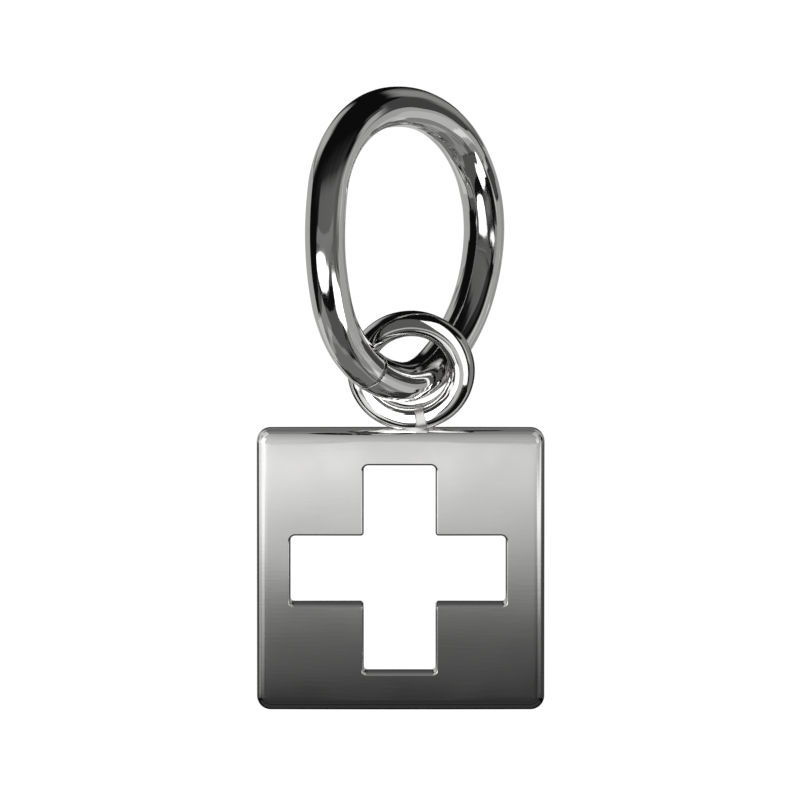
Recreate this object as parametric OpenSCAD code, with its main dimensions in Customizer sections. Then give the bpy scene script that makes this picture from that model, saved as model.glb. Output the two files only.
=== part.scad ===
// Swiss cross charm: a pierced square plate on a soldered jump ring, hung from an oval wire bail.
// Millimetres, +Z up, +X to the right and -Y to the front. The origin is the hang point, at the
// inside top of the bail's eye.

/* [Plate] */
// Width and height of the square plate
plate_w = 11.25; // [10.5:0.05:12]
// Thickness of the plate
plate_t = 1.3; // [1:0.05:1.5]
// Radius of the plate's corners, seen from the front
corner_r = 0.55; // [0.5:0.05:1.5]
// Radius to which the plate's outer edges are rounded over
edge_r = 0.42; // [0.3:0.01:0.48]

/* [Cross opening] */
// Width of each arm; the cross is three arms wide and three arms high
arm_w = 2.8; // [2.2:0.05:3]
// Radius that the file left in each outer corner
file_r = 0.18; // [0.1:0.02:0.6]
// Distance of the opening's middle to the right of the plate's middle
cross_shift = -0.1; // [-0.3:0.05:0.3]

/* [Jump ring] */
// Outside diameter of the ring
ring_od = 5; // [4.9:0.02:5.1]
// Diameter of the ring's wire
ring_wire = 1.02; // [0.8:0.02:1.06]
// Lean of the ring towards the front, in degrees
ring_lean = 10; // [8:0.5:12]
// Distance of the ring to the right of the plate's middle
ring_offset = 0.41; // [-0.5:0.01:0.5]
// Depth to which the ring is let into the plate's top edge
ring_sink = 0.12; // [0.05:0.01:0.2]

/* [Solder] */
// Length of the solder run along the plate's top edge
solder_len = 2.1; // [1.6:0.1:2.6]
// Greatest thickness of the solder run
solder_d = 0.8; // [0.6:0.05:0.9]
// Distance of the run to the right of the ring's middle
solder_offset = 0.12; // [-0.3:0.01:0.3]
// Length of the seam that closes the ring
seam_len = 0.47; // [0.3:0.01:0.6]
// Angle of the seam round the ring, from its lowest point to the right
seam_angle = 11; // [5:1:15]
// Height of the seam above the wire
seam_rise = 0.02; // [0.01:0.005:0.03]

/* [Bail] */
// Diameter of the bail's wire
bail_wire = 1.6; // [1.4:0.05:1.65]
// Turn of the bail away from the plate's own plane, in degrees
bail_turn = 47; // [46:1:55]
// Radius of the bend at the top left
shoulder_r = 3.2; // [3:0.1:3.4]
// Radius of the long bend down the left side
side_r = 10.7; // [10.4:0.1:11]
// Radius of the bend at the lower left
heel_r = 5.3; // [5.1:0.1:5.5]
// Width of the joint where the wire's two ends meet
end_gap = 0.04; // [0.02:0.01:0.1]
// Angle of that joint round the lower left bend, back from the bail's lowest point
end_angle = 34; // [20:1:40]

/* [Hang] */
// Distance of the ring's middle to the right of the bail's lowest point
hang_right = 0.06; // [0.04:0.01:0.08]
// Distance of the ring's middle behind the bail's lowest point
hang_back = 0.03; // [0.02:0.01:0.08]
// Distance of the ring's middle above the bail's lowest point
hang_up = 0.42; // [0.4:0.01:0.44]

/* [Hidden] */
$fn = 96;

// How far a cutting tool reaches past what it cuts
past = 1;
// Length of the collar between two bends, and its height above the wire
collar_len = 0.08;
collar_rise = 0.002;

// Turn of each bend of the bail in degrees, from its top round by the left. The first three
// radii are driving dimensions. The last two are the ones that bring the wire back to its start.
full_turn = 360;
shoulder_turn = 80;
side_turn = 25;
heel_turn = 60;
toe_turn = 45;
back_turn = full_turn - shoulder_turn - side_turn - heel_turn - toe_turn;
turns = [shoulder_turn, side_turn, heel_turn, toe_turn, back_turn];

// Heading of the wire where bend i starts; at the top it runs to the left
top_heading = 180;
function heading(i) = i == 0 ? top_heading : heading(i - 1) + turns[i - 1];

// Way covered by bend i at a radius of 1, in the bail's own plane
function unit_step(i) = [
    sin(heading(i + 1)) - sin(heading(i)),
    cos(heading(i)) - cos(heading(i + 1))
];
function cross_2d(a, b) = a.x * b.y - a.y * b.x;

// The way back to the start is shared between the last two bends
toe = 3;
back = 4;
way_back = -(shoulder_r * unit_step(0) + side_r * unit_step(1) + heel_r * unit_step(2));
share = cross_2d(unit_step(toe), unit_step(back));
toe_r = cross_2d(way_back, unit_step(back)) / share;
back_r = cross_2d(unit_step(toe), way_back) / share;
radii = [shoulder_r, side_r, heel_r, toe_r, back_r];

// Where bend i starts and where its centre is; the wire's own thickness puts the top above the origin
function bend_start(i) = i == 0 ? [0, bail_wire / 2]
    : bend_start(i - 1) + radii[i - 1] * unit_step(i - 1);
function bend_centre(i) = bend_start(i) + radii[i] * [-sin(heading(i)), cos(heading(i))];
heel = 2;

// The bail's lowest point, the middle of the ring and the middle of the plate
lowest = bend_centre(toe) - [0, toe_r];
bail_low = [lowest.x * cos(bail_turn), lowest.x * sin(bail_turn), lowest.y];
ring_centre = bail_low + [hang_right, hang_back, hang_up];
ring_r = (ring_od - ring_wire) / 2;
ring_base = plate_w / 2 + ring_wire / 2 - ring_sink;
plate_centre = ring_centre - [
    ring_offset,
    -ring_r * sin(ring_lean),
    ring_base + ring_r * cos(ring_lean)
];
cross_w = 3 * arm_w;

// Rectangle with round corners
module rounded_bar(w, h, r) {
    square([w - 2 * r, h], center = true);
    square([w, h - 2 * r], center = true);
    for (x = [-1, 1], y = [-1, 1])
        translate([x * (w / 2 - r), y * (h / 2 - r)]) circle(r = r);
}

// One corner of the plate, turned about its own centre
module plate_corner() {
    rotate([90, 0, 0])
        rotate_extrude()
            intersection() {
                rounded_bar(2 * corner_r, plate_t, edge_r);
                translate([0, -plate_t]) square([2 * corner_r, 2 * plate_t]);
            }
}

// Square blank with rounded edges and round corners
module plate_blank() {
    straight = plate_w - 2 * corner_r;
    linear_extrude(height = straight, center = true) rounded_bar(plate_w, plate_t, edge_r);
    rotate([0, 90, 0])
        linear_extrude(height = straight, center = true) rounded_bar(plate_w, plate_t, edge_r);
    for (x = [-1, 1], z = [-1, 1])
        translate([x * straight / 2, 0, z * straight / 2]) plate_corner();
}

// The cross as it is sawn out and filed
module cross_cutter() {
    translate([cross_shift, 0, 0])
        rotate([90, 0, 0])
            linear_extrude(height = plate_t + 2 * past, center = true) {
                rounded_bar(cross_w, arm_w, file_r);
                rounded_bar(arm_w, cross_w, file_r);
            }
}

module pierced_plate() {
    difference() {
        plate_blank();
        cross_cutter();
    }
}

// Part of a wire ring in the XZ plane, from one angle over a sweep
module wire_arc(r, wire, from, sweep) {
    rotate([90, 0, 0])
        rotate([0, 0, from])
            rotate_extrude(angle = sweep)
                translate([r, 0]) circle(d = wire);
}

// Moves what stands on the plate's top edge to the ring's middle, and leans it
module at_ring() {
    translate([ring_offset, 0, ring_base])
        rotate([ring_lean, 0, 0])
            translate([0, 0, ring_r])
                children();
}

module jump_ring() {
    at_ring() wire_arc(ring_r, ring_wire, 0, full_turn);
}

// Soldered seam that closes the ring, a touch proud of the wire
module ring_seam() {
    seam_sweep = seam_len / ring_r * 180 / PI;
    at_ring() wire_arc(ring_r, ring_wire + 2 * seam_rise, seam_angle - 90 - seam_sweep / 2, seam_sweep);
}

// Solder drawn along the plate's top edge under the ring, thick in the middle and thin at its ends
module solder_run() {
    run_r = (pow(solder_len, 2) + pow(solder_d, 2)) / (4 * solder_d);
    translate([ring_offset + solder_offset, 0, plate_w / 2 - ring_sink])
        rotate([0, 90, 0])
            rotate_extrude()
                intersection() {
                    translate([solder_d / 2 - run_r, 0]) circle(r = run_r);
                    translate([0, -solder_len / 2]) square([solder_d, solder_len]);
                }
}

// Plate, ring and solder are one piece of metal
module cross_pendant() {
    color("silver")
        translate(plate_centre)
            union() {
                pierced_plate();
                jump_ring();
                ring_seam();
                solder_run();
            }
}

// Narrow slot between the wire's butted ends
module end_slot() {
    translate([bend_centre(heel).x, 0, bend_centre(heel).y])
        rotate([0, end_angle, 0])
            translate([0, 0, -heel_r])
                cube([end_gap, bail_wire + 2 * past, bail_wire + 2 * past], center = true);
}

// Thin collar over the place where bend i starts, which makes it one with the bend before it
module bend_joint(i) {
    translate([bend_start(i).x, 0, bend_start(i).y])
        rotate([0, 90 - heading(i), 0])
            cylinder(d = bail_wire + 2 * collar_rise, h = collar_len, center = true);
}

// Heavy round wire bent by hand into an oval
module bail() {
    color("gainsboro")
        rotate([0, 0, bail_turn])
            difference() {
                union() {
                    for (i = [0 : len(turns) - 1]) {
                        translate([bend_centre(i).x, 0, bend_centre(i).y])
                            wire_arc(radii[i], bail_wire, heading(i) - 90, turns[i]);
                        bend_joint(i);
                    }
                }
                end_slot();
            }
}

cross_pendant();
bail();
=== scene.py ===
import math
import bpy
import numpy as np
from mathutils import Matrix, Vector


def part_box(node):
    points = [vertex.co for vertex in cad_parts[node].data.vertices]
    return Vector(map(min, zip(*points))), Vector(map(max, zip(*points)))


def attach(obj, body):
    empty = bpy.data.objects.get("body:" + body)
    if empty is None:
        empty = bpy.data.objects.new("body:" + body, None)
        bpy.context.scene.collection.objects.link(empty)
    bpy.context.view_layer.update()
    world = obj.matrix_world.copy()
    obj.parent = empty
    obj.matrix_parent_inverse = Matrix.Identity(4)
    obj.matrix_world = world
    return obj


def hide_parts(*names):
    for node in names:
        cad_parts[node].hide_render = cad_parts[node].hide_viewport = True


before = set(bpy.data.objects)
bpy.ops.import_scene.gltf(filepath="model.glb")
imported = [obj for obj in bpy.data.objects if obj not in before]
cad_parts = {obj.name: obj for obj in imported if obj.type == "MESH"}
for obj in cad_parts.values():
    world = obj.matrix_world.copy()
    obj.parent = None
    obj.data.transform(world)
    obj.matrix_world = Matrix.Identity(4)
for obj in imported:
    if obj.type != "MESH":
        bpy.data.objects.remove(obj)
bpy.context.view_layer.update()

# Camera
# A long lens far away, as the plate's two sides are parallel in the photo. It looks down
# on the upright charm, and the plate's middle lands where the photo has it.
mm = 0.001
scene = bpy.context.scene
view_tilt = math.radians(12.2)
pixel = 0.0391 * mm
frame_pixels = 800
plate_in_photo = (400.6, 568.2)
camera_distance = 1.3
nearest_seen, farthest_seen = 0.1, 20

pendant_low, pendant_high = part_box("cross_pendant")
plate_w = pendant_high.x - pendant_low.x
plate_t = 1.3 * mm
plate_middle = Vector((
    (pendant_low.x + pendant_high.x) / 2,
    pendant_high.y - plate_t / 2,
    pendant_low.z + plate_w / 2,
))
picture_up = Vector((0, math.sin(view_tilt), math.cos(view_tilt)))
towards_camera = Vector((0, -math.cos(view_tilt), math.sin(view_tilt)))
aim = (
    plate_middle
    + Vector((frame_pixels / 2 - plate_in_photo[0], 0, 0)) * pixel
    + picture_up * (plate_in_photo[1] - frame_pixels / 2) * pixel
)
camera_data = bpy.data.cameras.new("photo_camera")
camera_data.sensor_width = 36
camera_data.lens = camera_data.sensor_width * camera_distance / (frame_pixels * pixel)
camera_data.clip_start = nearest_seen
camera_data.clip_end = farthest_seen
camera = bpy.data.objects.new("photo_camera", camera_data)
camera.location = aim + towards_camera * camera_distance
camera.rotation_euler = (math.pi / 2 - view_tilt, 0, 0)
scene.collection.objects.link(camera)
scene.camera = camera
scene.view_settings.view_transform = "Standard"

# Studio
# Polished silver shows only what stands round it: a dark room with two grey walls and a
# lamp, cards of light round the charm, and a pale sweep that only the camera sees.
room_base = 0.004
sweep_brightness = 1.05
# Angles are in degrees: azimuth 0 is the front and 90 the right, and elevation 90 is straight up.
# name: middle azimuth, half width, middle elevation, half height, softness, brightness
room = {
    "left upper wall": (-128, 28, 26, 18, 8, 0.42),
    "right upper wall": (140, 20, 24, 22, 8, 0.25),
    "right lamp": (80, 6, 5, 17, 4, 0.38),
}


def feed(tree, value, socket):
    """Sets a socket to a number, or links it to the output of another node."""
    if isinstance(value, (int, float)):
        socket.default_value = value
    else:
        tree.links.new(value, socket)


def worked_out(tree, operation, *values):
    """Output of a math node on one or two values, each a number or the output of another node."""
    node = tree.nodes.new("ShaderNodeMath")
    node.operation = operation
    for socket, value in zip(node.inputs, values):
        feed(tree, value, socket)
    return node.outputs[0]


def room_patch(tree, previous, azimuth, elevation, patch):
    """Mixes one rectangle of brightness over the previous value. For each angle a smooth step falls
    from 1 to 0 round the rectangle's edge, and the product of the two is the share of the mix."""
    middle_az, half_az, middle_el, half_el, softness, brightness = patch
    steps = []
    for angle, middle, half in ((azimuth, middle_az, half_az), (elevation, middle_el, half_el)):
        step = tree.nodes.new("ShaderNodeMapRange")
        step.interpolation_type = "SMOOTHSTEP"
        step.inputs["From Min"].default_value = half - softness
        step.inputs["From Max"].default_value = half + softness
        step.inputs["To Min"].default_value = 1
        step.inputs["To Max"].default_value = 0
        away = worked_out(tree, "ABSOLUTE", worked_out(tree, "SUBTRACT", angle, middle))
        tree.links.new(away, step.inputs["Value"])
        steps.append(step.outputs[0])
    mix = tree.nodes.new("ShaderNodeMix")
    feed(tree, worked_out(tree, "MULTIPLY", *steps), mix.inputs["Factor"])
    feed(tree, previous, mix.inputs["A"])
    feed(tree, brightness, mix.inputs["B"])
    return mix.outputs["Result"]


world = bpy.data.worlds.new("studio")
scene.world = world
world.use_nodes = True
world_tree = world.node_tree
direction = world_tree.nodes.new("ShaderNodeTexCoord")
split = world_tree.nodes.new("ShaderNodeSeparateXYZ")
world_tree.links.new(direction.outputs["Generated"], split.inputs[0])
ahead = worked_out(world_tree, "MULTIPLY", split.outputs["Y"], -1)
turned_right = worked_out(world_tree, "ARCTAN2", split.outputs["X"], ahead)
turned_up = worked_out(world_tree, "ARCSINE", split.outputs["Z"])
room_azimuth = worked_out(world_tree, "DEGREES", turned_right)
room_elevation = worked_out(world_tree, "DEGREES", turned_up)
room_light = room_base
for patch in room.values():
    room_light = room_patch(world_tree, room_light, room_azimuth, room_elevation, patch)
background = world_tree.nodes["Background"]
world_tree.links.new(room_light, background.inputs["Color"])
sweep = world_tree.nodes.new("ShaderNodeBackground")
sweep.inputs["Color"].default_value = (1, 1, 1, 1)
sweep.inputs["Strength"].default_value = sweep_brightness
camera_sees = world_tree.nodes.new("ShaderNodeLightPath")
choose = world_tree.nodes.new("ShaderNodeMixShader")
world_tree.links.new(camera_sees.outputs["Is Camera Ray"], choose.inputs[0])
world_tree.links.new(background.outputs[0], choose.inputs[1])
world_tree.links.new(sweep.outputs[0], choose.inputs[2])
world_tree.links.new(choose.outputs[0], world_tree.nodes["World Output"].inputs["Surface"])

# Cards of light a metre from the plate's middle, each for some of the metal only. Their width and
# height are angles as seen from there. Cards that overlap add up, and a softbox is oval.
# name: azimuth, elevation, width, height, brightness, pieces that it lights
cards = {
    "softbox_left": (-22, -24, 60, 12, 1.6, "bail"),
    "softbox_right": (49, -24, 38, 15, 1.6, "bail"),
    "bail_behind": (180, -12, 46, 24, 0.45, "bail"),
    "bail_back_right": (138, -13, 38, 28, 0.3, "bail"),
    "bail_side_box": (72, -27, 20, 28, 0.25, "bail"),
    "bail_under_side": (86, -52, 50, 24, 0.10, "bail"),
    "bail_floor": (0, -90, 66, 66, 0.15, "bail"),
    "bail_front": (0, 16, 124, 66, 0.035, "bail"),
    "bail_line": (0, -14, 100, 9, 0.09, "bail"),
    "bail_left": (-140, -27, 84, 66, 0.40, "bail"),
    "bail_right": (104, 15, 34, 40, 0.05, "bail"),
    "bail_right_low": (101, -24, 38, 36, 0.36, "bail"),
    "bail_low": (-14, -50, 96, 28, 0.08, "bail"),
    "bail_table": (-80, -50, 70, 26, 0.16, "bail"),
    "bail_low_right": (130, -46, 90, 40, 0.12, "bail"),
    "ring_behind": (180, -12, 46, 24, 0.45, "ring"),
    "ring_card_left": (-47, -20, 38, 40, 1.2, "ring"),
    "ring_card_right": (38, 6, 44, 84, 1.2, "ring"),
    "ring_card_low": (-4, -30, 40, 14, 0.4, "ring"),
    "ring_low_left": (-34, -50, 34, 20, 0.7, "ring"),
    "ring_fill": (-5, -5, 50, 110, 0.1, "ring"),
    "ring_side_left": (-110, -5, 50, 60, 0.3, "ring"),
    "ring_side_right": (100, -10, 44, 60, 0.2, "ring"),
    "solder_card": (0, 0, 60, 120, 1.0, "solder"),
    "face_card": (0, -14, 50, 26, 1.65, "plate"),
    "near_left_card": (-43, 4, 38, 50, 1.15, "plate"),
    "far_left_card": (-81, 4, 38, 50, 0.9, "plate"),
    "back_left_card": (-133, -8, 60, 24, 0.35, "plate"),
    "back_right_card": (122, -8, 80, 24, 0.14, "plate"),
    "plate_behind": (-171, -12, 42, 30, 0.45, "plate"),
    "plate_floor": (0, -80, 110, 50, 0.03, "plate"),
    "near_right_card": (53, 4, 54, 50, 1.15, "plate"),
    "upper_card": (0, 28, 110, 68, 0.75, "plate"),
    "upper_left_card": (-75, 45, 56, 50, 0.40, "plate"),
    "upper_right_card": (75, 45, 56, 50, 0.25, "plate"),
    "ceiling_card": (0, 80, 100, 36, 0.22, "plate"),
    "high_behind_card": (180, 62, 100, 36, 0.14, "plate"),
    "behind_card": (180, 24, 100, 40, 0.18, "plate"),
    "low_card": (0, -36, 90, 24, 0.028, "plate"),
}
# How a card's brightness changes over its height: elevation, share of the brightness
left_fall = (
    (-17, 0.05), (-15.2, 0.23), (-14, 0.34), (-13, 0.49), (-12.2, 0.64), (-11.5, 0.81),
    (-10.5, 0.92), (12, 0.92), (28, 0))
right_fall = (
    (-17, 0.03), (-15.2, 0.1), (-14, 0.17), (-13, 0.4), (-12.2, 0.66), (-11.5, 0.74),
    (-10.5, 0.92), (-9, 0.42), (12, 0.3), (28, 0))
upright_fall = {
    "face_card": (
        (-26, 0), (-20, 0.022), (-17.6, 0.024), (-17.2, 0.033), (-16.3, 0.065), (-15.1, 0.095),
        (-13.5, 0.18), (-12.3, 0.34), (-11, 0.45), (-9.4, 0.58), (-8.4, 0.7), (-7.8, 0.68),
        (-7.4, 0.6), (-7, 0.46), (-5, 0.12), (-3, 0)),
    "bail_front": ((-16, 0), (-6, 1), (10, 0.9), (26, 0.45), (49, 0)),
    "upper_card": ((-6, 0.75), (3, 0.8), (23, 0.7), (46, 0.6), (62, 0.52)),
    "behind_card": ((4, 0.1), (11, 0.3), (14, 0.5), (18, 0.75), (26, 1), (44, 1)),
    "back_left_card": ((-20, 0.12), (-14, 0.15), (-11, 0.22), (-9.4, 0.4), (-7.4, 1), (4, 1)),
    "back_right_card": ((-20, 0.3), (-13, 0.35), (-9.4, 1), (4, 1)),
    "near_left_card": left_fall,
    "far_left_card": left_fall,
    "near_right_card": right_fall,
}
# The same over its width: azimuth, share of the brightness
sideways_fall = {
    "face_card": ((-25, 1), (-11, 0.93), (-2, 0.77), (2, 0.62), (13, 0.56), (25, 0.67)),
    "upper_card": ((-55, 1), (-3, 1), (0, 0.8), (3, 0.72), (55, 0.72)),
    "bail_front": ((-62, 0), (-42, 0.6), (0, 0.7), (40, 1), (56, 0.9), (62, 0.4)),
}
# Two cards close by. One stands before the ring's lower half, which its upper half hardly
# sees. The other stands before the bail's middle and foot, and leaves the bail's top dark.
# name: place from the plate's middle and size, in mm, brightness, spread, pieces
near_cards = {
    "ring_near_card": ((-0.1, -2.5, 6.07), (2.55, 2.9), 1.6, 112, "ring"),
    "bail_near_card": ((2.2, -8.8, 14.05), (20, 7.7), 0.09, 180, "bail"),
}
# How a near card's brightness changes from its lower edge, 0, to its upper edge, 1: height, share
near_fall = {"bail_near_card": ((0, 0.6), (0.15, 1), (0.75, 1), (1, 0))}

groups = {name: bpy.data.collections.new("lit_" + name) for name in ("plate", "ring", "solder", "bail")}
for group in groups.values():
    scene.collection.children.link(group)


def light_card(name, place, size, brightness, pieces, shape="RECTANGLE"):
    """Area light for some pieces only, which the camera doesn't see. Its power is its brightness
    times pi times the area of its face, so that its reflection is as bright at any size."""
    data = bpy.data.lights.new(name, "AREA")
    data.shape = shape
    data.size, data.size_y = size
    face_area = size[0] * size[1] * (math.pi / 4 if shape == "ELLIPSE" else 1)
    data.energy = brightness * math.pi * face_area
    card = bpy.data.objects.new(name, data)
    card.location = place
    card.visible_camera = False
    card.light_linking.receiver_collection = groups[pieces]
    scene.collection.objects.link(card)
    return card


def stops_on_face(middle, size, falls):
    """Stops from 0 to 1 over a card's width or height, from directions in degrees: the tangent of the
    angle from the card's middle, as a share of the tangents of both its edges."""
    half = math.tan(math.radians(size / 2))
    return [(0.5 + math.tan(math.radians(angle - middle)) / (2 * half), share) for angle, share in falls]


def dim(data, ramps, interpolation):
    """Varies an area light's strength over its face. ramps holds stops for an axis of the face, X or Y,
    and where it holds both, their values are multiplied."""
    data.use_nodes = True
    tree = data.node_tree
    face = tree.nodes.new("ShaderNodeNewGeometry")
    face_split = tree.nodes.new("ShaderNodeSeparateXYZ")
    tree.links.new(face.outputs["Parametric"], face_split.inputs[0])
    strengths = []
    for axis, stops in ramps.items():
        ramp = tree.nodes.new("ShaderNodeValToRGB")
        ramp.color_ramp.interpolation = interpolation
        tree.links.new(face_split.outputs[axis], ramp.inputs["Fac"])
        elements = ramp.color_ramp.elements
        while len(elements) < len(stops):
            elements.new(0.5)
        for element, (place, share) in zip(elements, stops):
            element.position = place
            element.color = (share, share, share, 1)
        strengths.append(ramp.outputs[0])
    strength = strengths[0] if len(strengths) == 1 else worked_out(tree, "MULTIPLY", *strengths)
    tree.links.new(strength, tree.nodes["Emission"].inputs["Strength"])


for name, (azimuth, elevation, width, height, brightness, pieces) in cards.items():
    aside, above = math.radians(azimuth), math.radians(elevation)
    out = Vector((math.sin(aside) * math.cos(above), -math.cos(aside) * math.cos(above), math.sin(above)))
    size = [2 * math.tan(math.radians(angle / 2)) for angle in (width, height)]
    shape = "ELLIPSE" if name.startswith("softbox") else "RECTANGLE"
    card = light_card(name, plate_middle + out, size, brightness, pieces, shape)
    card.rotation_mode = "QUATERNION"
    card.rotation_quaternion = out.to_track_quat("Z", "Y")
    ramps = {}
    if name in upright_fall:
        ramps["Y"] = stops_on_face(elevation, height, upright_fall[name])
    if name in sideways_fall:
        ramps["X"] = stops_on_face(azimuth, width, sideways_fall[name])
    if ramps:
        dim(card.data, ramps, "CARDINAL")
for name, (place, size, brightness, spread, pieces) in near_cards.items():
    near = plate_middle + mm * Vector(place)
    card = light_card(name, near, [mm * side for side in size], brightness, pieces)
    card.rotation_euler = (math.pi / 2, 0, 0)
    card.data.spread = math.radians(spread)
    if name in near_fall:
        dim(card.data, {"Y": near_fall[name]}, "LINEAR")

# The floor is a large sheet of white paper far below, which the silver doesn't reflect
floor_drop = 0.8
floor_size = 3
paper_colour = (0.9, 0.9, 0.9, 1)
paper_roughness = 0.9
paper_glow = 0.8
bpy.ops.mesh.primitive_plane_add(size=floor_size, location=(0, 0, plate_middle.z - floor_drop))
floor = bpy.context.object
floor.name = "studio_floor"
paper = bpy.data.materials.new("white_paper")
paper.use_nodes = True
paper_shader = paper.node_tree.nodes["Principled BSDF"]
paper_shader.inputs["Base Color"].default_value = paper_colour
paper_shader.inputs["Roughness"].default_value = paper_roughness
paper_shader.inputs["Emission Color"].default_value = (1, 1, 1, 1)
paper_shader.inputs["Emission Strength"].default_value = paper_glow
floor.data.materials.append(paper)
floor.visible_glossy = False
floor.visible_shadow = False

# Cross plate
# A square of sterling silver sheet, pierced with a saw and filed to an equal-armed cross,
# its edges rounded over and both faces polished until they crown a little.
corner_r = 0.55 * mm
edge_r = 0.42 * mm
# Power of the rounded edge's curve: 2 is a quarter of a circle, and more is fuller
edge_fullness = 2.2
# How far each face falls from its middle to its top and bottom edge, and to its sides
crown_z = 0.12 * mm
crown_x = 0.04 * mm
arm_w = 2.8 * mm
cross_shift = -0.1 * mm
file_r = 0.18 * mm
# Radius of the metal's four corners between the arms
metal_corner_r = 0.12 * mm
# The upright arms stand a little to the right, and the lower one is sawn a little short
arm_shift = 0.06 * mm
low_end_raise = 0.06 * mm
# The file broke the opening's edge, by rim_r along the face and rim_depth into the opening, but
# under the opening it left the edge crisp
rim_r = 0.1 * mm
rim_depth = 0.25 * mm
crisp_rim_r = 0.04 * mm
crisp_rim_depth = 0.5 * mm
# The edge changes over between these upward parts of the direction from the opening to the metal
crisp_to_round = [-1, -0.4]

silver_colour = (0.93, 0.925, 0.915, 1)
# Wear: its colour as a share of the new one, the scale and detail of its patches, the part of their
# noise that changes the gloss, and the roughness at both ends of it, as shares of the piece's own
worn_share = 0.94
wear_scale = 420
wear_detail = 4
wear_range = (0.3, 0.7)
gloss_range = (0.7, 1.4)
dent_scale = 600
# Polishing lines run across the sheet, and along a drawn wire
sheet_stretch = (900, 900, 9000)
sheet_detail = 3
drawn_stretch = (3, 3, 250)
drawn_detail = 1

arm_end_points = 12
file_points = 10
arm_side_points = 40
metal_corner_points = 12
rim_rows = 9
face_rows = 38
edge_rows = 22
band_rows = 5
wall_rows = 9


def grid_mesh(name, points, close_rows=False, poles=False, grain=None):
    """Mesh object of a grid of points, rows by columns. Each row is closed on itself. With close_rows
    the last row joins the first, and with poles those two are each drawn together into one vertex.
    grain is an optional vector at each point, which the material reads."""
    rows, columns = points.shape[:2]
    vertices = points.reshape(-1, 3)
    index = np.arange(rows * columns).reshape(rows, columns)
    if poles:
        index[0, :] = index[0, 0]
        index[-1, :] = index[-1, 0]
    down = np.roll(index, -1, axis=0) if close_rows else index[1:]
    here = index if close_rows else index[:-1]
    right = np.roll(here, -1, axis=1)
    corner = np.roll(down, -1, axis=1)
    quads = np.stack([here, down, corner, right], axis=-1).reshape(-1, 4)
    used, renumbered = np.unique(quads, return_inverse=True)
    quads = renumbered.reshape(-1, 4)
    faces = [list(dict.fromkeys(face)) for face in quads.tolist()]
    mesh = bpy.data.meshes.new(name)
    mesh.from_pydata(vertices[used].tolist(), [], faces)
    mesh.shade_smooth()
    if grain is not None:
        attribute = mesh.attributes.new("grain", "FLOAT_VECTOR", "POINT")
        attribute.data.foreach_set("vector", grain.reshape(-1, 3)[used].ravel())
    mesh.update()
    piece = bpy.data.objects.new(name, mesh)
    scene.collection.objects.link(piece)
    return piece


def polished_silver(name, colour, roughness, lines, dents, drawn=False):
    """Silver that varies with Object coordinates: soft patches of wear in its colour and gloss,
    fine polishing lines, and shallow uneven places left by hand work. lines and dents are depths
    in metres. On drawn wire the lines follow the mesh's grain instead."""
    material = bpy.data.materials.new(name)
    material.use_nodes = True
    tree = material.node_tree
    shader = tree.nodes["Principled BSDF"]
    shader.inputs["Metallic"].default_value = 1
    place = tree.nodes.new("ShaderNodeTexCoord").outputs["Object"]
    wear = tree.nodes.new("ShaderNodeTexNoise")
    wear.inputs["Scale"].default_value = wear_scale
    wear.inputs["Detail"].default_value = wear_detail
    tree.links.new(place, wear.inputs["Vector"])
    tint = tree.nodes.new("ShaderNodeMix")
    tint.data_type = "RGBA"
    new_colour, worn_colour = (socket for socket in tint.inputs if socket.type == "RGBA")
    tinted = next(socket for socket in tint.outputs if socket.type == "RGBA")
    new_colour.default_value = colour
    worn_colour.default_value = [worn_share * part for part in colour[:3]] + [1]
    tree.links.new(wear.outputs["Fac"], tint.inputs["Factor"])
    tree.links.new(tinted, shader.inputs["Base Color"])
    gloss = tree.nodes.new("ShaderNodeMapRange")
    gloss.inputs["From Min"].default_value = wear_range[0]
    gloss.inputs["From Max"].default_value = wear_range[1]
    gloss.inputs["To Min"].default_value = gloss_range[0] * roughness
    gloss.inputs["To Max"].default_value = gloss_range[1] * roughness
    tree.links.new(wear.outputs["Fac"], gloss.inputs["Value"])
    tree.links.new(gloss.outputs[0], shader.inputs["Roughness"])
    stretch = tree.nodes.new("ShaderNodeMapping")
    stretch.inputs["Scale"].default_value = drawn_stretch if drawn else sheet_stretch
    if drawn:
        grain = tree.nodes.new("ShaderNodeAttribute")
        grain.attribute_name = "grain"
        tree.links.new(grain.outputs["Vector"], stretch.inputs["Vector"])
    else:
        tree.links.new(place, stretch.inputs["Vector"])
    scratch = tree.nodes.new("ShaderNodeTexNoise")
    scratch.inputs["Scale"].default_value = 1
    scratch.inputs["Detail"].default_value = drawn_detail if drawn else sheet_detail
    tree.links.new(stretch.outputs[0], scratch.inputs["Vector"])
    dent = tree.nodes.new("ShaderNodeTexNoise")
    dent.inputs["Scale"].default_value = dent_scale
    dent.inputs["Detail"].default_value = 0
    tree.links.new(place, dent.inputs["Vector"])
    normal = None
    for height, depth in ((dent, dents), (scratch, lines)):
        bump = tree.nodes.new("ShaderNodeBump")
        bump.inputs["Distance"].default_value = depth
        tree.links.new(height.outputs["Fac"], bump.inputs["Height"])
        if normal is not None:
            tree.links.new(normal, bump.inputs["Normal"])
        normal = bump.outputs[0]
    tree.links.new(normal, shader.inputs["Normal"])
    return material


def arc(centre, radius, start, end, count):
    """Points on an arc and its outward directions, from one angle to another, in degrees."""
    angle = np.radians(np.linspace(start, end, count))
    out = np.stack([np.cos(angle), np.sin(angle)], axis=-1)
    return np.asarray(centre) + radius * out, out


def line(start, end, out, count):
    """Evenly spaced points between two places, all with one outward direction."""
    share = np.linspace(0, 1, count)[:, None]
    return (1 - share) * np.asarray(start) + share * np.asarray(end), np.tile(out, (count, 1))


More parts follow.
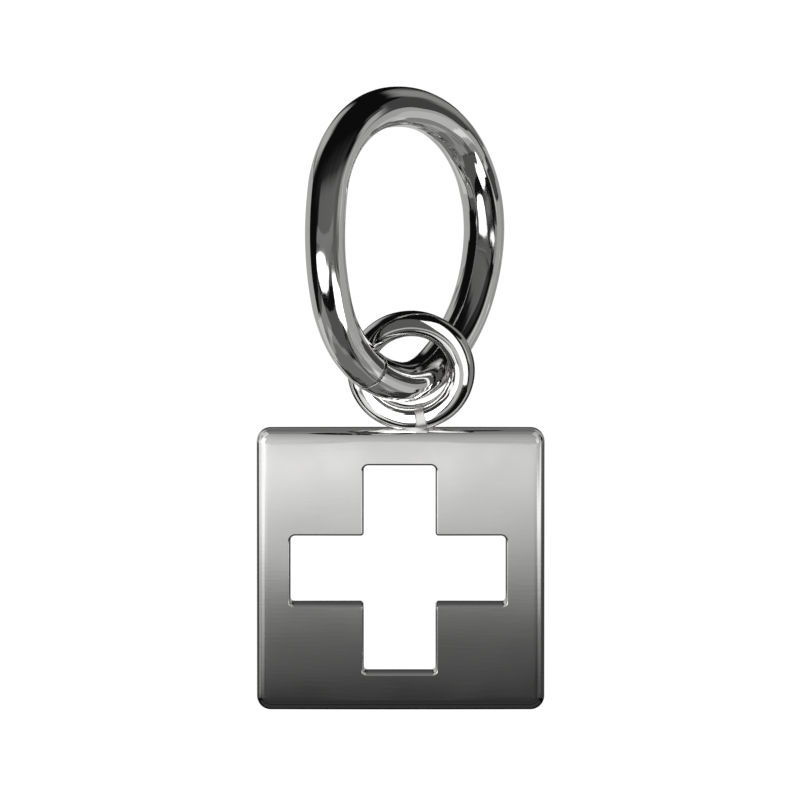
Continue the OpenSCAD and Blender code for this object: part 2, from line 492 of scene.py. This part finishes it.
def join(*stretches):
    """Stretches laid end to end, each without its last point, which the next one starts with."""
    last_points, last_outs = stretches[-1]
    points = [stretch_points[:-1] for stretch_points, _ in stretches] + [last_points[-1:]]
    outs = [stretch_outs[:-1] for _, stretch_outs in stretches] + [last_outs[-1:]]
    return np.concatenate(points), np.concatenate(outs)


def eight_times(points):
    """One eighth of a square pattern, from the right to the diagonal, mirrored over the diagonal
    and then turned by a quarter three times."""
    mirrored = points[-2:0:-1, ::-1]
    quarter = np.concatenate([points, mirrored])
    quarter_turn = np.array([[0, 1], [-1, 0]])
    return np.concatenate([quarter @ np.linalg.matrix_power(quarter_turn, turned) for turned in range(4)])


def half_thickness(place):
    """Half the sheet's thickness less a crown that grows with the square of the distance from the
    middle, across and upwards."""
    x, z = place[..., 0] / (plate_w / 2), place[..., 1] / (plate_w / 2)
    return plate_t / 2 - crown_x * x**2 - crown_z * z**2


def across(start, end, count):
    """A column of parameters that leaves its last value to the next stretch."""
    return np.linspace(start, end, count, endpoint=False)[:, None, None]


# One eighth of the opening's edge. The cross is five squares, so each arm is as long as it is wide.
cross_end = 1.5 * arm_w
cross_side = 0.5 * arm_w
diagonal = cross_side + metal_corner_r
inner, inner_out = join(
    line((cross_end, 0), (cross_end, cross_side - file_r), (1, 0), arm_end_points),
    arc((cross_end - file_r, cross_side - file_r), file_r, 0, 90, file_points),
    line((cross_end - file_r, cross_side), (diagonal, cross_side), (0, 1), arm_side_points),
    arc((diagonal, diagonal), metal_corner_r, -90, -135, metal_corner_points),
)
# The metal's corner bends the other way, so there the metal lies on the inner side of the arc
at_metal_corner = np.arange(len(inner)) >= len(inner) - metal_corner_points
inner_out = np.where(at_metal_corner[:, None], -inner_out, inner_out)
# One eighth of the line where the rounded edge starts, with a point for each on the opening. The
# slope from the middle gives the way along it: the arm faces the straight side, and the metal's
# corner faces the round one.
flat_corner_r = corner_r - edge_r
straight = plate_w / 2 - edge_r - flat_corner_r
eighth_length = straight + flat_corner_r * math.pi / 4
slope = inner[:, 1] / inner[:, 0]
run = np.interp(slope, [0, slope[-metal_corner_points], 1], [0, straight, eighth_length])
bend = np.clip((run - straight) / flat_corner_r, 0, None)
outer_out = np.stack([np.cos(bend), np.sin(bend)], axis=-1)
outer = np.stack([np.full(len(run), straight), np.minimum(run, straight)], axis=-1)
outer += flat_corner_r * outer_out
eighths = (inner, inner_out, outer, outer_out)
inner, inner_out, outer, outer_out = (eight_times(eighth) for eighth in eighths)
inner[:, 0] += cross_shift + arm_shift * np.interp(np.abs(inner[:, 0]), [diagonal, cross_end], [1, 0])
inner[:, 1] += low_end_raise * np.interp(-inner[:, 1], [diagonal, cross_end], [0, 1])
rim_radius = np.interp(inner_out[:, 1], crisp_to_round, [crisp_rim_r, rim_r])[:, None]
rim_reach = np.interp(inner_out[:, 1], crisp_to_round, [crisp_rim_depth, rim_depth])

# One loop over the front, round the edge, back over the rear and out through the opening: a quarter
# of an ellipse at the rim, a blend from the rim to the rounded edge, with rows closest at the rim,
# a quarter of a superellipse at the edge, and straight lines down the edge and through the opening.
rim_turn = across(0, math.pi / 2, rim_rows)
rim_place = inner + inner_out * rim_radius * (1 - np.cos(rim_turn))
rim_y = half_thickness(rim_place) - rim_reach * (1 - np.sin(rim_turn[..., 0]))
face_share = across(0, 1, face_rows) ** 2
face_place = (1 - face_share) * (inner + inner_out * rim_radius) + face_share * outer
edge_turn = across(0, math.pi / 2, edge_rows)
edge_place = outer + outer_out * edge_r * np.sin(edge_turn) ** (2 / edge_fullness)
edge_y = half_thickness(edge_place) - edge_r * (1 - np.cos(edge_turn[..., 0]) ** (2 / edge_fullness))
outline = outer + outer_out * edge_r
band = np.linspace(1, -1, band_rows)[:, None] * (half_thickness(outline) - edge_r)
wall = np.linspace(-1, 1, wall_rows + 1)[:-1, None] * (half_thickness(inner) - rim_reach)
front_place = np.concatenate([rim_place, face_place, edge_place])
front_y = np.concatenate([rim_y, half_thickness(face_place), edge_y])
loop_place = np.concatenate([
    front_place,
    np.broadcast_to(outline, (band_rows, *outline.shape)),
    front_place[:0:-1],
    np.broadcast_to(inner, (wall_rows, *inner.shape)),
])
loop_y = np.concatenate([front_y, band, -front_y[:0:-1], wall])
loop_points = np.stack([loop_place[..., 0], -loop_y, loop_place[..., 1]], axis=-1)
plate = grid_mesh("cross_plate", loop_points + np.array(plate_middle), close_rows=True)
plate_silver = polished_silver("plate_silver", silver_colour, roughness=0.07, lines=2e-7, dents=2e-6)
plate.data.materials.append(plate_silver)
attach(plate, "pendant")
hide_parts("cross_pendant")
groups["plate"].objects.link(plate)

# Jump ring
# A ring of 18 gauge silver wire, closed with solder, that stands on the plate's top edge
# and leans to the front. Its wire was turned round a rod.
ring_od = 5 * mm
ring_wire = 1.02 * mm
ring_r = (ring_od - ring_wire) / 2
ring_lean = math.radians(10)
ring_offset = 0.41 * mm
ring_sink = 0.12 * mm
ring_rows = 360
ring_sides = 72
ring_base = plate_middle + Vector((ring_offset, 0, plate_w / 2 + ring_wire / 2 - ring_sink))
ring_up = Vector((0, -math.sin(ring_lean), math.cos(ring_lean)))
ring_middle = ring_base + ring_up * ring_r
# How much hand work takes off a wire on average, as a share of its radius, and the waves in it
hand_depth = 0.012
# share, waves round the wire, waves along it, start
hand_waves = ((1, 2, 3, 0.4), (0.8, 3, -5, 2.0), (0.6, 1, 9, 4.0), (0.5, 2, -13, 1.0))


def once_round(sides):
    """Evenly spaced angles once round a circle."""
    return np.linspace(0, 2 * math.pi, sides, endpoint=False)


def hand_work(along, around):
    """Share of a wire's radius that bending, pliers and polishing leave: 1 less the depth times 1 plus
    the wave, a mean of sines that run along the wire and round it, weighted by their shares. along
    grows by 1 over the wire's whole length, and around is in radians."""
    wave = sum(
        share * np.sin(round_wire * around + 2 * math.pi * along_wire * along + start)
        for share, round_wire, along_wire, start in hand_waves)
    return 1 - hand_depth * (1 + wave / sum(share for share, *_ in hand_waves))


def wire_grain(along, around):
    """Vector that runs once round a circle with the turn round a wire and grows with the way along it."""
    return np.stack(np.broadcast_arrays(np.cos(around), np.sin(around), along), axis=-1)


def hoop(along, wire_radius):
    """The jump ring's wire at some angles, from its lowest point to the right: the ring's circle of
    centres, with a circle of the wire's radius square to it at each."""
    along = along[:, None, None]
    around = once_round(ring_sides)[None, :, None]
    right, up = np.array((1, 0, 0)), np.array(ring_up)
    side = np.cross(right, up)
    out = np.sin(along) * right - np.cos(along) * up
    radius = np.reshape(wire_radius, (-1, 1, 1)) * hand_work(along / (2 * math.pi), around)
    return np.array(ring_middle) + ring_r * out + radius * (np.cos(around) * out + np.sin(around) * side)


# The grain's way along the closed ring goes to and fro, so that its end meets its start
ring_turn = once_round(ring_rows)
ring_grain = wire_grain(ring_r * np.cos(ring_turn)[:, None], once_round(ring_sides)[None])
ring = grid_mesh("jump_ring", hoop(ring_turn, ring_wire / 2), close_rows=True, grain=ring_grain)
ring_silver = polished_silver(
    "ring_silver", silver_colour, roughness=0.07, lines=4e-6, dents=8e-6, drawn=True)
ring.data.materials.append(ring_silver)
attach(ring, "pendant")
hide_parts("cross_pendant")
groups["ring"].objects.link(ring)

# Solder
# Silver solder, a little duller than the metal: the run drawn along the plate's edge under
# the ring, and the seam that closes the ring.
solder_len = 2.1 * mm
solder_d = 0.8 * mm
solder_offset = 0.12 * mm
run_rows = 61
run_sides = 48
seam_len = 0.47 * mm
seam_angle = math.radians(11)
seam_rise = 0.02 * mm
seam_fullness = 4
seam_rows = 25
solder_colour = (0.88, 0.875, 0.865, 1)

# The run's radius falls with the square of the distance from its middle. Its rows turn the other
# way round than those of the wires, so its faces come out inwards and are flipped.
run_share = np.linspace(-1, 1, run_rows)[:, None]
run_radius = solder_d / 2 * (1 - run_share**2)
run_around = once_round(run_sides)
run_middle = plate_middle + Vector((ring_offset + solder_offset, 0, plate_w / 2 - ring_sink))
run_points = np.stack([
    np.broadcast_to(solder_len / 2 * run_share, (run_rows, run_sides)),
    run_radius * np.cos(run_around),
    run_radius * np.sin(run_around),
], axis=-1) + np.array(run_middle)
solder = grid_mesh("solder", run_points, poles=True)
solder.data.flip_normals()

# The seam starts below the wire's surface, swells above it and is closed by a disc at each end
seam_half = seam_len / ring_r / 2
seam_share = np.linspace(-1, 1, seam_rows)
seam_swell = 2 * seam_rise * np.sqrt(1 - seam_share**seam_fullness)
seam_radii = np.concatenate([[0], ring_wire / 2 - seam_rise + seam_swell, [0]])
seam_turn = seam_angle + seam_half * np.concatenate([[-1], seam_share, [1]])
seam = grid_mesh("ring_seam", hoop(seam_turn, seam_radii), poles=True)

solder_silver = polished_silver("solder_silver", solder_colour, roughness=0.3, lines=4e-7, dents=1.5e-5)
for piece in (solder, seam):
    piece.data.materials.append(solder_silver)
    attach(piece, "pendant")
    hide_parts("cross_pendant")
    groups["solder"].objects.link(piece)

# Bail
# Heavy 14 gauge silver wire bent by hand into a lopsided oval through the ring, with its
# two cut ends butted at the lower left and left open.
bail_wire = 1.6 * mm
bail_turn = math.radians(47)
# Bends from the top round by the left: radius in mm, turn in degrees. The last two radii are
# the ones that bring the wire back to its start.
bends = {
    "shoulder": (3.2, 80),
    "side": (10.7, 25),
    "heel": (5.3, 60),
    "toe": (None, 45),
    "back": (None, 150),
}
heel = list(bends).index("heel")
# The joint: its angle back from the bail's lowest point, its width and the rounding of the cut ends
end_angle = math.radians(34)
end_gap = 0.04 * mm
end_round = 0.08 * mm
end_rows = 7
body_rows = 718
bail_sides = 96
# Two shallow flats and a swell that the pliers left. The way is from the top by the left, and the
# turn round the wire is from its outer side to the front. A depth below 0 is a swell.
# way in mm, turn in degrees, length in mm, width in degrees, depth in mm
flats = ((10.9, 80, 1.2, 40, 0.06), (23.6, 118, 1.8, 52, -0.16), (26.8, 122, 2, 40, 0.12))

turns = np.radians([turn for _, turn in bends.values()])
headings = math.pi + np.concatenate([[0], np.cumsum(turns)])
steps = np.stack([np.diff(np.sin(headings)), -np.diff(np.cos(headings))], axis=-1)
known = np.array([radius for radius, _ in bends.values() if radius]) * mm
closing = np.linalg.solve(steps[len(known):].T, -(known @ steps[:len(known)]))
radii = np.concatenate([known, closing])
top = np.array([0, bail_wire / 2])
starts = np.concatenate([[top], top + np.cumsum(radii[:, None] * steps, axis=0)[:-1]])
centres = starts + radii[:, None] * np.stack([-np.sin(headings[:-1]), np.cos(headings[:-1])], axis=-1)
bend_ends = np.cumsum(radii * turns)
bend_starts = bend_ends - radii * turns
bail_length = bend_ends[-1]


def oval(way):
    """Place and outward direction on the bail's centreline, in its own plane, at a way along it from
    the top: five arcs that follow each other with one tangent."""
    way = np.mod(way, bail_length)
    bend = np.minimum(np.searchsorted(bend_ends, way, side="right"), len(turns) - 1)
    heading = headings[bend] + (way - bend_starts[bend]) / radii[bend]
    out = np.stack([np.sin(heading), -np.cos(heading)], axis=-1)
    return centres[bend] + radii[bend][:, None] * out, out


# Rows from one cut end to the other: the pole in its middle, a circle halfway out on its disc, its
# rounded edge, the body, and the same again at the other end
cut_heading = 2 * math.pi - end_angle
cut_way = bend_starts[heel] + (cut_heading - headings[heel]) * radii[heel]
open_length = bail_length - end_gap
rounding = np.linspace(0, math.pi / 2, end_rows)
end_steps = end_round * (1 - np.cos(rounding))
end_radii = bail_wire / 2 - end_round * (1 - np.sin(rounding))
body_ways = np.linspace(end_round, open_length - end_round, body_rows + 2)[1:-1]
ways = np.concatenate([
    [0, 0],
    end_steps,
    body_ways,
    open_length - end_steps[::-1],
    [open_length, open_length],
])
wire_radii = np.concatenate([
    [0, bail_wire / 4],
    end_radii,
    np.full(body_rows, bail_wire / 2),
    end_radii[::-1],
    [bail_wire / 4, 0],
])
middles, outs = oval(cut_way + end_gap / 2 + ways)

# The radius that hand work leaves, less a bell-shaped hollow for each flat
around = once_round(bail_sides)[None, :, None]
worked_radii = wire_radii[:, None, None] * hand_work(ways[:, None, None] / bail_length, around)
ways_from_top = np.mod(cut_way + ways, bail_length)[:, None, None]
for flat_way, flat_turn, flat_length, flat_width, flat_depth in flats:
    way_off = (ways_from_top - flat_way * mm) / (flat_length * mm)
    turn_off = (np.mod(np.degrees(around) - flat_turn + 180, 360) - 180) / flat_width
    worked_radii = worked_radii - flat_depth * mm * np.exp(-way_off**2 - turn_off**2)

# The oval is stood upright and turned, with a circle of that radius square to it at each place
bail_right = np.array((math.cos(bail_turn), math.sin(bail_turn), 0))
bail_side = np.array((math.sin(bail_turn), -math.cos(bail_turn), 0))
upright = np.array((0, 0, 1))
middle_points = middles[:, :1] * bail_right + middles[:, 1:] * upright
out_directions = outs[:, :1] * bail_right + outs[:, 1:] * upright
bail_points = middle_points[:, None] + worked_radii * (
    np.cos(around) * out_directions[:, None] + np.sin(around) * bail_side)
bail = grid_mesh("bail_wire", bail_points, poles=True, grain=wire_grain(ways[:, None], around[..., 0]))
bail_silver = polished_silver(
    "bail_silver", silver_colour, roughness=0.06, lines=3e-5, dents=3e-5, drawn=True)
bail.data.materials.append(bail_silver)
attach(bail, "bail")
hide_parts("bail")
groups["bail"].objects.link(bail)
